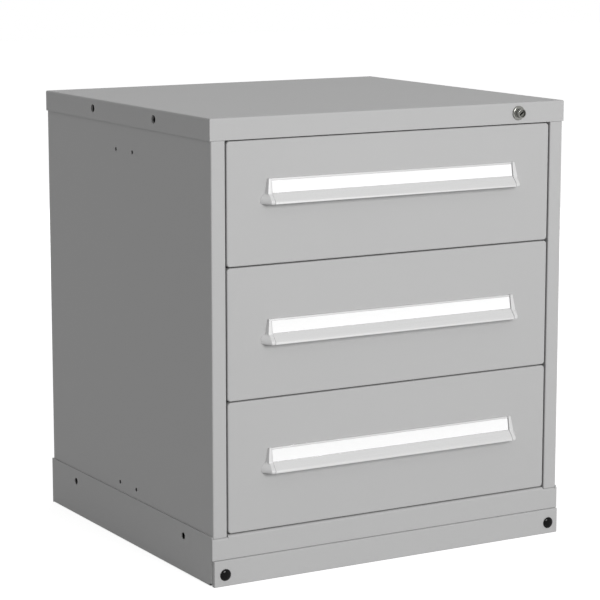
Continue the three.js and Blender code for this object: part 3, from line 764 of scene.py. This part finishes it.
@dataclass(frozen=True)
class Base:
    """The base: a front rail with a rounded top edge, two sides, and a toe plate held by two push-in plugs."""

    gauge: float = 1.9
    ledge: float = 24.0
    top_bend: float = 3.0
    raised_half: float = 350.3
    ledge_half: float = 379.1
    end_top: float = 89.8
    foot: float = 60.0
    rail_drop: float = 0.4
    front: float = 4.5
    upper_front: float = 2.2
    relief: float = 5.0
    relief_depth: float = 8.0
    tab_inner: float = 345.0
    tab: tuple[float, float] = (7.0, 47.5)
    anchor_radius: float = 6.8
    anchor_spread: float = 474.2
    anchor_level: float = 69.3
    shank_hole: float = 4.8
    toe_rim: float = 9.2
    toe_gauge: float = 1.2
    toe_inside: float = 0.4
    toe_corner: float = 0.6
    plug: PlugSizes = PlugSizes()

    def build(self) -> None:
        """Makes the base."""
        low, high = place_of("toe_plug_right")
        centre = (low + high) / 2
        self._front_rail()
        self._sides(centre)
        self._toe_plate(centre)
        self._plugs(centre, low[1], high[1])

    def _front_rail(self) -> None:
        """Makes the front rail: raised between the stiles, with a lower end and a flat web under each of them."""
        low, high = place_of("base_rail_front")
        rail_foot = low[2] - self.rail_drop

        def section(top: float) -> np.ndarray:
            """The rail's folded outline where its ledge stands at the level top."""
            return folded([(self.ledge, top), (0, top), (0, rail_foot)], self.gauge, self.top_bend)

        pieces = [prism(section(high[2]), Along.X, -self.raised_half, self.raised_half)]
        for side in Side:
            end = prism(section(self.end_top), Along.X, self.raised_half, self.ledge_half)
            web = block([self.ledge_half, high[0]], [0, self.gauge], [rail_foot, self.end_top])
            pieces += [end.on(side), web.on(side)]
        make_piece("base_front", Surface.together(*pieces), POWDER_COAT, "cabinet", "base_rail_front")

    def _sides(self, centre: np.ndarray) -> None:
        """Makes the sides: each a wall with a turned-in foot and two anchor holes, and a tab that takes the plug.

        Args:
            centre: the middle of the right plug.
        """
        _, high = place_of("base_side_right")
        inner = high[0] - self.gauge
        rail_foot = place_of("base_rail_front")[0][2]
        path = [(high[0] - self.foot, 0), (high[0], 0), (high[0], high[2])]
        wall = prism(folded(path, self.gauge), Along.Y, self.front, high[1])
        outside = high[0] + OVERRUN
        notch = block([0, outside], [0, self.front + self.relief_depth], [-OVERRUN, self.relief])
        middle = place_of("top_cover")[1][1] / 2
        anchors = [
            rod(self.anchor_radius, Along.X, inner - OVERRUN, outside).moved(y=middle + way, z=self.anchor_level)
            for way in pair(self.anchor_spread)
        ]
        upper = block([inner, high[0]], [self.upper_front, self.front], [rail_foot, high[2]])
        tab = block([self.tab_inner, inner], [self.front, self.front + self.gauge], self.tab)
        hole = rod(self.shank_hole, Along.Y, 0, self.front + self.gauge + OVERRUN)
        hole = hole.moved(centre[0], 0, centre[2])
        whole = Surface.together(without(wall, notch, *anchors), upper, without(tab, hole))
        for side in Side:
            make_piece(f"base_{side.word}", whole.on(side), POWDER_COAT, "cabinet", f"base_side_{side.word}")

    def _toe_plate(self, centre: np.ndarray) -> None:
        """Makes the toe plate: a shallow pan with a hole for each plug.

        Args:
            centre: the middle of the right plug.
        """
        low, high = place_of("toe_plate")
        half = (high - low)[[0, 2]] / 2
        rings = rounded(half, self.toe_corner, pan_profile(self.toe_rim, self.toe_gauge, self.toe_inside))
        rings = rings[:, :, [0, 2, 1]] + np.array([0, low[1], (low[2] + high[2]) / 2])
        hole = rod(self.shank_hole, Along.Y, low[1] - OVERRUN, 0)
        holes = [hole.moved(way * centre[0], 0, centre[2]) for way in (-1, 1)]
        make_piece("toe_board", without(loft(rings), *holes), POWDER_COAT, "cabinet", "toe_plate")

    def _plugs(self, centre: np.ndarray, front: float, back: float) -> None:
        """Makes the plugs, each turned about its own axis, its dome a Bezier curve.

        Args:
            centre: the middle of the right plug.
            front: where its head starts.
            back: where its shank ends.
        """
        plug = self.plug
        seat = front + plug.head
        shape = np.concatenate([
            [[POINT, back], [plug.shank, back], [plug.shank, seat], [plug.rim, seat]],
            arc((plug.radius - plug.edge, seat - plug.edge), plug.edge, 0, plug.edge_turn, steps=4),
            bezier(np.array(plug.dome) + np.array([0.0, front]), steps=14),
        ])
        shell = turned(shape, Along.Y, steps=64).moved(centre[0], 0, centre[2])
        for side in Side:
            make_piece(f"plug_{side.word}", shell.on(side), NYLON, "cabinet", f"toe_plug_{side.word}")


@dataclass(frozen=True)
class CapSizes:
    """The shape of an end cap.

    A table gives, for each drop below the handle's top edge, its reach forwards and sideways and the width of the
    strip across its front. The knee, flare and cheek are shares of these on the way from the strip to the outer end.
    """

    drops: tuple[float, ...] = (0.0, 13.0, 26.3, 28.2, 30.5, 32.4, 34.5, 38.5, 42.0, 44.2, 45.3)
    forward: tuple[float, ...] = (4.6, 6.8, 9.0, 9.9, 11.9, 13.6, 15.5, 18.8, 20.0, 19.6, 18.4)
    sideways: tuple[float, ...] = (5.8, 8.2, 11.0, 13.4, 16.0, 17.6, 18.8, 19.8, 19.85, 19.0, 17.2)
    strip: tuple[float, ...] = (5.2, 7.0, 8.8, 7.4, 6.6, 6.6, 6.8, 7.0, 7.0, 6.8, 6.2)
    knee: tuple[float, float] = (0.07, 1.0)
    flare: tuple[float, float] = (0.18, 0.86)
    cheek: tuple[float, float] = (0.6, 0.42)
    rings: tuple[int, int] = (9, 25)
    joint: float = 0.3
    wall: float = 2.0
    hollow_from: float = 31.3
    edge: float = 0.35


@dataclass(frozen=True)
class Handle:
    """A handle: an aluminium extrusion with a label channel over a rounded lip, its label and two end caps.

    Its sizes run out from the drawer's face and down from the handle's top edge.
    """

    number: int
    top_reach: float = 3.0
    lip: float = 3.2
    foot_lip: float = 0.3
    channel_depth: float = 1.4
    foot_reach: float = 7.5
    foot_drop: float = 26.3
    reach: float = 20.0
    slope: tuple[float, float] = (12.5, 31.9)
    bulge: float = 39.0
    shoulder: float = 42.0
    height: float = 45.3
    wall: float = 2.2
    nose: float = 1.2
    nose_from: float = 15.0
    roof: float = 30.6
    hollow: float = 2.4
    label_gauge: float = 0.8
    label_play: float = 0.2
    label_top_play: float = 0.5
    label_end: float = 0.8
    edge: float = 0.3
    cap: CapSizes = CapSizes()

    def build(self) -> None:
        """Makes the handle."""
        body = f"drawer_{self.number}"
        _, high = place_of(f"handle_{self.number}")
        face, top, half = high[1], high[2], high[0]
        section = self._section() * np.array([-1, -1]) + np.array([face, top])
        grip = prism(section, Along.X, -half, half)
        extrusion = make_piece(f"{body}_handle", grip, ANODISED, body, f"handle_{self.number}")
        self._soften(extrusion, self.edge)
        strip = self._strip() * np.array([-1, -1]) + np.array([face, top])
        label = prism(strip, Along.X, self.label_end - half, half - self.label_end)
        make_piece(f"{body}_label", label, CARD, body, f"label_{self.number}")
        start = place_of(f"handle_cap_{self.number}_right")[0][0]
        shell = self._end_cap().moved(start, face, top)
        for side in Side:
            node = f"handle_cap_{self.number}_{side.word}"
            cap = make_piece(f"{body}_cap_{side.word}", shell.on(side), MOULDED, body, node)
            self._soften(cap, self.cap.edge)

    @staticmethod
    def _soften(piece: bpy.types.Object, width: float) -> None:
        """Rounds a piece's sharp edges.

        Args:
            piece: the piece.
            width: how far from the edge the rounding starts, in millimetres.
        """
        bevel = piece.modifiers.new("edges", "BEVEL")
        bevel.width = width * MM
        bevel.segments = 2
        bevel.limit_method = "ANGLE"
        bevel.angle_limit = SOFTENED
        bevel.use_clamp_overlap = True

    def _reach(self, drop: float) -> float:
        """How far out the leaning face beside the label stands at a drop below the top edge."""
        return self.top_reach + (self.foot_reach - self.top_reach) * drop / self.foot_drop

    def _section(self) -> np.ndarray:
        """The extrusion's outline.

        Returns:
            Array (n, 2) of reach and drop: down the leaning face with the label's channel, along a Bezier curve to
            the nose and round it, and back up along a second curve, a wall's thickness inside the first.
        """
        foot = self.foot_drop - self.foot_lip
        inner = self.reach - self.wall
        return np.concatenate([
            [(0, 0), (self.top_reach, 0), (self._reach(self.lip), self.lip)],
            [(self._reach(self.lip) - self.channel_depth, self.lip)],
            [(self._reach(foot) - self.channel_depth, foot), (self._reach(foot), foot)],
            bezier([
                (self.foot_reach, self.foot_drop),
                self.slope,
                (self.reach, self.bulge),
                (self.reach, self.shoulder),
            ], steps=20),
            [(self.reach, self.shoulder + SUPPORT), (self.reach, self.height - self.nose)],
            arc((self.reach - self.nose, self.height - self.nose), self.nose, self.nose_from, 90, steps=5),
            [(inner, self.height), (inner, self.shoulder + SUPPORT)],
            bezier([
                (inner, self.shoulder),
                (inner, self.bulge + self.hollow),
                (self.slope[0] - self.hollow, self.slope[1] + self.hollow),
                (self.foot_reach, self.roof),
            ]),
            [(0, self.roof)],
        ])

    def _strip(self) -> np.ndarray:
        """The label's outline.

        Returns:
            Array (4, 2) of reach and drop: a leaning strip in the channel, a little proud of its floor.
        """
        top = self.lip + self.label_top_play
        foot = self.foot_drop - self.foot_lip - self.label_play
        back = self.label_play - self.channel_depth
        out = back + self.label_gauge
        corners = [(top, back), (top, out), (foot, out), (foot, back)]
        return np.array([(self._reach(drop) + depth, drop) for drop, depth in corners])

    def _levels(self, drops: np.ndarray, wall: float, start: float, back: float) -> np.ndarray:
        """Rings of an end cap, or of its hollow.

        Args:
            drops: the levels, below the handle's top edge.
            wall: how far inside the cap's skin the rings lie.
            start: where they start sideways.
            back: where they end behind.

        Returns:
            Rings (m, n, 3): at each level a strip across the front, then a rounded corner and a straight flare down
            to the reach sideways, all as the table gives them there.
        """
        cap = self.cap
        plan = np.concatenate([bezier([(0.0, 1.0), cap.knee, cap.flare], steps=10), [cap.cheek, (1.0, 0.0)]])
        forward = np.interp(drops, cap.drops, cap.forward)[:, None] - wall
        sideways = np.interp(drops, cap.drops, cap.sideways)[:, None] - wall
        strip = np.interp(drops, cap.drops, cap.strip)[:, None] - wall / 2
        x = strip + plan[None, :, 0] * (sideways - strip)
        y = -plan[None, :, 1] * forward
        y[:, -1] = back
        edge = np.ones((len(drops), 1))
        x = np.concatenate([x, start * edge, start * edge], axis=1)
        y = np.concatenate([y, back * edge, -forward], axis=1)
        return np.stack([x, y, np.broadcast_to(-drops[:, None], x.shape)], axis=-1)

    def _end_cap(self) -> Surface:
        """An end cap, drawn for the right side from the end of the extrusion.

        Returns:
            A loft over its levels, hollow a wall's thickness inside it and open below, behind and towards the handle.
        """
        cap = self.cap
        foot = cap.drops[2]
        drops = np.concatenate([
            np.linspace(0.0, foot, cap.rings[0]),
            np.linspace(foot, cap.drops[-1], cap.rings[1])[1:],
        ])
        whole = loft(self._levels(drops, 0.0, cap.joint, 0.0))
        below = drops[drops > cap.hollow_from]
        rings = self._levels(below, cap.wall, -OVERRUN, OVERRUN)
        mouth = rings[-1:] - np.array([0, 0, OVERRUN])
        return without(whole, loft(np.concatenate([rings, mouth])))


@dataclass(frozen=True)
class Drawer:
    """A drawer: its folded front, its tray, its handle, and the slides on both sides."""

    number: int
    front_gauge: float = 1.5
    front_corner: float = 6.5
    front_play: float = 0.9
    inside: float = 1.0
    tray_gauge: float = 1.5
    hem: float = 10.0
    slide_gauge: float = 1.8
    rivets: int = 4
    rivet_inset: float = 30.0
    rivet_radius: float = 2.6
    rivet_height: float = 0.7
    rivet_crown: float = 0.75
    rivet_taper: float = 0.7
    catch_stem: float = 2.0
    catch_height: float = 8.0
    catch_arm: float = 12.0

    def build(self) -> None:
        """Makes the drawer."""
        self._front()
        self._tray()
        self._slides()
        Handle(self.number).build()

    def _front(self) -> None:
        """Makes the front: a shallow pan with rounded corners, a little short of the gap on its right."""
        low, high = place_of(f"drawer_front_{self.number}")
        high = high - np.array([self.front_play, 0, 0])
        half = (high - low)[[0, 2]] / 2
        profile = pan_profile(high[1] - low[1], self.front_gauge, self.inside)
        rings = rounded(half, self.front_corner, profile, steps=10)[:, :, [0, 2, 1]]
        rings = rings + np.array([(low[0] + high[0]) / 2, low[1], (low[2] + high[2]) / 2])
        body = f"drawer_{self.number}"
        make_piece(f"{body}_front", loft(rings), POWDER_COAT, body, f"drawer_front_{self.number}")

    def _tray(self) -> None:
        """Makes the tray: a deep pan whose upper edge is folded inwards and down into a hem."""
        low, high = place_of(f"drawer_tray_{self.number}")
        height = high[2] - low[2]
        gauge = self.tray_gauge
        bend = gauge + self.inside
        profile = np.concatenate([
            [[bend + SUPPORT, 0.0]],
            arc((bend, bend), bend, 270, 180),
            [[0.0, bend + SUPPORT], [0.0, height - gauge - SUPPORT]],
            arc((gauge, height - gauge), gauge, 180, 0),
            [[2 * gauge, height - gauge - SUPPORT], [2 * gauge, height - self.hem], [gauge, height - self.hem]],
            [[gauge, bend + SUPPORT]],
            arc((bend, bend), self.inside, 180, 270),
            [[bend + SUPPORT, gauge]],
        ])
        half = (high - low)[:2] / 2
        rings = rounded(half, 0.0, profile, steps=1) + np.array([0, (low[1] + high[1]) / 2, low[2]])
        body = f"drawer_{self.number}"
        make_piece(f"{body}_tray", loft(rings), POWDER_COAT, body, f"drawer_tray_{self.number}")

    def _slides(self) -> None:
        """Makes the three members of the slide on each side, and the catch on the right one."""
        drawer = f"drawer_{self.number}"
        carriage = f"carriage_{self.number}"
        members = {
            f"cabinet_rail_{self.number}": ("cabinet", f"slide_{self.number}_fixed", True),
            carriage: (carriage, f"slide_{self.number}_middle", True),
            f"drawer_rail_{self.number}": (drawer, f"slide_{self.number}_moving", False),
        }
        for node, (body, name, web_outside) in members.items():
            low, high = place_of(f"{node}_left")
            channel = self._channel(-high[0], -low[0], low, high, web_outside)
            for side in Side:
                shape = channel.on(side)
                if side is Side.RIGHT and not web_outside:
                    shape = Surface.together(shape, self._catch(low))
                make_piece(f"{name}_{side.word}", shape, ZINC, body, f"{node}_{side.word}")

    def _channel(self, inner: float, outer: float, low: np.ndarray, high: np.ndarray, web_outside: bool) -> Surface:
        """One member of a slide, drawn for the right side, with a row of rivet heads inside its web.

        Args:
            inner: its edge nearest the drawer.
            outer: its edge nearest the side panel.
            low: the lowest corner of its box.
            high: the highest corner.
            web_outside: whether its web is the outer edge.

        Returns:
            A channel section carried along Y, and the turned rivet heads.
        """
        web, tip = (outer, inner) if web_outside else (inner, outer)
        first, last = (low[2], high[2]) if web_outside else (high[2], low[2])
        path = [(tip, first), (web, first), (web, last), (tip, last)]
        channel = prism(folded(path, self.slide_gauge), Along.Y, low[1], high[1])
        way = -1 if web_outside else 1
        seat = web + way * self.slide_gauge
        dome = [
            [self.rivet_radius, 0.0],
            [self.rivet_taper * self.rivet_radius, self.rivet_height],
            [POINT, self.rivet_crown],
        ]
        head = turned(np.array(dome), Along.X, steps=20)
        head = Surface(head.points * np.array([way, 1, 1]), head.faces)
        places = np.linspace(low[1] + self.rivet_inset, high[1] - self.rivet_inset, self.rivets)
        heads = [head.moved(seat, y, (low[2] + high[2]) / 2) for y in places]
        return Surface.together(channel, *heads)

    def _catch(self, low: np.ndarray) -> Surface:
        """The catch that the lock bar holds, in front of the right drawer rail.

        Args:
            low: the lowest corner of the left drawer rail's box, which has no catch.

        Returns:
            A tab that stands out sideways, its stem, and the arm that joins them to the rail's web.
        """
        box_low, box_high = place_of(f"drawer_rail_{self.number}_right")
        web = [box_low[0], box_low[0] + self.slide_gauge]
        front = [box_low[1], box_low[1] + self.catch_stem]
        return Surface.together(
            block([box_low[0], box_high[0]], front, [box_low[2], box_low[2] + self.catch_height]),
            block(web, front, [box_low[2] + self.catch_height, low[2] + self.catch_arm]),
            block(web, [front[1], low[1]], [low[2], low[2] + self.catch_arm]),
        )


@dataclass(frozen=True)
class Lock:
    """The lock: a housing with its bezel, and the plug with its key slot."""

    bezel_radius: float = 13.5
    bezel: float = 3.2
    edge: float = 2.2
    groove: float = 0.4
    nose_radius: float = 8.75
    nose: float = 10.0
    nose_edge: float = 0.8
    bore: float = 6.95
    barrel_radius: float = 9.4
    barrel: float = 14.0
    plug_radius: float = 6.75
    plug: float = 29.7
    plug_edge: float = 0.3
    tail: float = 2.8
    tail_half: float = 4.0
    recess: float = 2.2
    slot: tuple[float, float, float] = (2.9, 10.0, 11.0)
    slot_turn: float = 54.0

    @property
    def place(self) -> tuple[float, float, float]:
        """Where its axis meets the seat of the bezel.

        Returns:
            That point, in millimetres.
        """
        low, high = place_of("lock_housing")
        middle = (low + high) / 2
        return float(middle[0]), float(high[1] - self.barrel), float(middle[2])

    def build(self) -> None:
        """Makes the lock."""
        tip = -self.bezel - self.nose
        edge = self.edge
        profile = np.concatenate([
            [[self.bore, self.barrel], [self.barrel_radius, self.barrel], [self.barrel_radius, 0.0]],
            [[self.bezel_radius, 0.0]],
            arc((self.bezel_radius - edge, -self.bezel + edge), edge, 0, -90, steps=6),
            [[self.nose_radius + self.groove, -self.bezel], [self.nose_radius, -self.bezel - self.groove]],
            arc((self.nose_radius - self.nose_edge, tip + self.nose_edge), self.nose_edge, 0, -90, steps=5),
            [[self.bore, tip]],
        ])
        housing = turned(profile, Along.Y, steps=72, looped=True).moved(*self.place)
        make_piece("lock_body", housing, CHROME, "cabinet", "lock_housing")
        face = tip + self.recess
        back = tip + self.plug
        barrel = turned(np.array([
            [POINT, back],
            [self.plug_radius, back],
            [self.plug_radius, face + self.plug_edge],
            [self.plug_radius - self.plug_edge, face],
            [POINT, face],
        ]), Along.Y, steps=64)
        width, depth, height = self.slot
        slot = block(pair(width), [face - OVERRUN, tip + depth], pair(height))
        barrel = without(barrel, slot.spun(math.radians(self.slot_turn)))
        ends = [-self.tail_half, self.tail_half]
        tail = block(ends, [back, back + self.tail], ends)
        plug = Surface.together(barrel, tail).moved(*self.place)
        # the plug's darker nickel is painted shade of the recess it sits in
        make_piece("lock_face", plug, RECESS_SHADE_NICKEL, "lock_barrel", "lock_plug")
        refinish(ZINC, "lock_nut", "lock_cam", "lock_bar")


@dataclass(frozen=True)
class Carcass:
    """What stands inside the case, shown as the CAD nodes are."""

    painted: tuple[str, ...] = ("back_panel", "floor_pan", "top_rail_front", "top_rail_rear", "base_rail_rear")

    def build(self) -> None:
        """Gives the inner sheets and the slotted uprights their finish."""
        refinish(POWDER_COAT, *self.painted)
        refinish(ZINC, *(f"upright_{end}_{side.word}" for end in ("front", "rear") for side in Side))


@dataclass(frozen=True)
class Studio:
    """A pale floor, a large soft lamp in front, a small one low behind, an even room and the camera.

    Its sizes are in metres, watts and degrees, but for the lens and the sensor, which are in millimetres.
    """

    floor: float = 30.0
    floor_level: float = -0.0004
    floor_grey: str = "#C6C6C6"
    floor_glow: float = 0.8
    floor_mirrored: float = 0.8
    footprint: tuple[float, float] = (0.378, 0.325)
    room_grey: float = 0.395
    key_place: tuple[float, float, float] = (0.6, -6.3, 2.4)
    aim: tuple[float, float, float] = (0.0, 0.0, 0.45)
    key_size: float = 2.2
    key_power: float = 246.0
    fill_place: tuple[float, float, float] = (2.4, 4.2, 0.44)
    fill_size: float = 0.8
    fill_power: float = 60.0
    camera_place: tuple[float, float, float] = (-2.27957, -3.94249, 1.23129)
    camera_turn: tuple[float, float, float] = (80.2067, 0.0, -30.0145)
    lens: float = 139.397
    sensor: float = 36.0
    sight: float = 100.0

    def build(self) -> None:
        """Makes the studio."""
        scene = bpy.context.scene
        scene.view_settings.view_transform = "Standard"
        self._floor()
        self._room(scene)
        self._lamp("key", self.key_place, self.key_size, self.key_power)
        self._lamp("fill", self.fill_place, self.fill_size, self.fill_power)
        self._camera(scene)

    @staticmethod
    def _seen(tree: bpy.types.NodeTree, mirrored: float) -> bpy.types.NodeSocket:
        """A socket for what is seen but gives no light.

        Args:
            tree: the node tree.
            mirrored: what it is where a reflection or a clear piece looks.

        Returns:
            The socket: 1 where the camera looks, mirrored in a reflection, and 0 for the light itself.
        """
        path = add_node(tree, "ShaderNodeLightPath")
        seen = path.outputs["Is Camera Ray"]
        for name in ("Is Glossy Ray", "Is Transmission Ray"):
            part = add_node(tree, "ShaderNodeMath", {0: path.outputs[name], 1: mirrored}, operation="MULTIPLY")
            either = add_node(tree, "ShaderNodeMath", {0: seen, 1: part.outputs[0]}, operation="MAXIMUM")
            seen = either.outputs[0]
        return seen

    def _floor(self) -> None:
        """Makes the floor: paper that takes light and shadow, and glows for the camera outside the cabinet's foot."""
        half = self.floor / 2 / MM
        level = self.floor_level / MM
        corners = np.array([[-half, -half, level], [half, -half, level], [half, half, level], [-half, half, level]])
        mesh = bpy.data.meshes.new("studio_floor")
        mesh.from_pydata((corners * MM).tolist(), [], [[0, 1, 2, 3]])
        floor = add_object("studio_floor", mesh)
        material = bpy.data.materials.new("studio_paper")
        tree = clean_tree(material)
        place = add_node(tree, "ShaderNodeTexCoord").outputs["Object"]
        parts = add_node(tree, "ShaderNodeSeparateXYZ", {0: place})
        seen = self._seen(tree, self.floor_mirrored)
        glow = add_node(tree, "ShaderNodeMath", {0: seen, 1: self.floor_glow}, operation="MULTIPLY")
        reaches = []
        for part, edge in zip(("X", "Y"), self.footprint):
            reach = add_node(tree, "ShaderNodeMath", {0: parts.outputs[part]}, operation="ABSOLUTE")
            reaches.append(add_node(tree, "ShaderNodeMath", {0: reach.outputs[0], 1: edge}, operation="GREATER_THAN"))
        sides = {i: reach.outputs[0] for i, reach in enumerate(reaches)}
        outside = add_node(tree, "ShaderNodeMath", sides, operation="MAXIMUM")
        glow = add_node(tree, "ShaderNodeMath", {0: glow.outputs[0], 1: outside.outputs[0]}, operation="MULTIPLY")
        paper = add_node(tree, "ShaderNodeBsdfDiffuse", {"Color": linear(self.floor_grey)})
        light = add_node(tree, "ShaderNodeEmission", {"Color": (1, 1, 1, 1), "Strength": glow.outputs[0]})
        both = add_node(tree, "ShaderNodeAddShader", {0: paper.outputs[0], 1: light.outputs[0]})
        add_node(tree, "ShaderNodeOutputMaterial", {"Surface": both.outputs[0]})
        mesh.materials.append(material)

    def _room(self, scene: bpy.types.Scene) -> None:
        """Makes the room: white where it is seen, and an even grey light.

        Args:
            scene: the scene.
        """
        world = bpy.data.worlds.new("studio_room")
        tree = clean_tree(world)
        grey = self.room_grey
        strength = add_node(tree, "ShaderNodeMapRange", {"Value": self._seen(tree, 1.0), "To Min": grey})
        room = add_node(tree, "ShaderNodeBackground", {
            "Color": (1, 1, 1, 1),
            "Strength": strength.outputs["Result"],
        })
        add_node(tree, "ShaderNodeOutputWorld", {"Surface": room.outputs[0]})
        scene.world = world

    def _lamp(self, name: str, place: Sequence[float], size: float, power: float) -> None:
        """Adds a square lamp aimed at the cabinet.

        Args:
            name: its name.
            place: where it stands, in metres.
            size: how wide it is, in metres.
            power: its power in watts.
        """
        lamp = bpy.data.lights.new(name, "AREA")
        lamp.shape = "SQUARE"
        lamp.size = size
        lamp.energy = power
        stand = add_object(name, lamp)
        stand.location = place
        away = np.array(place) - np.array(self.aim)
        level = math.hypot(away[0], away[1])
        stand.rotation_euler = (math.atan2(level, away[2]), 0.0, math.atan2(away[0], -away[1]))

    def _camera(self, scene: bpy.types.Scene) -> None:
        """Makes the camera, where the photograph was taken from.

        Args:
            scene: the scene.
        """
        lens = bpy.data.cameras.new("camera")
        lens.lens = self.lens
        lens.sensor_width = self.sensor
        lens.clip_end = self.sight
        camera = add_object("camera", lens)
        camera.location = self.camera_place
        camera.rotation_euler = tuple(math.radians(angle) for angle in self.camera_turn)
        scene.camera = camera


def main() -> None:
    """Builds the cabinet, from its carcass out to its handles and lock, and then the studio."""
    logging.basicConfig(level=logging.INFO, format="%(name)s: %(message)s")
    lock = Lock()
    x, _, z = lock.place
    Carcass().build()
    TopCover((x, z)).build()
    SidePanels().build()
    Base().build()
    for number in (1, 2, 3):
        Drawer(number).build()
    lock.build()
    Studio().build()


if __name__ == "__main__":
    main()
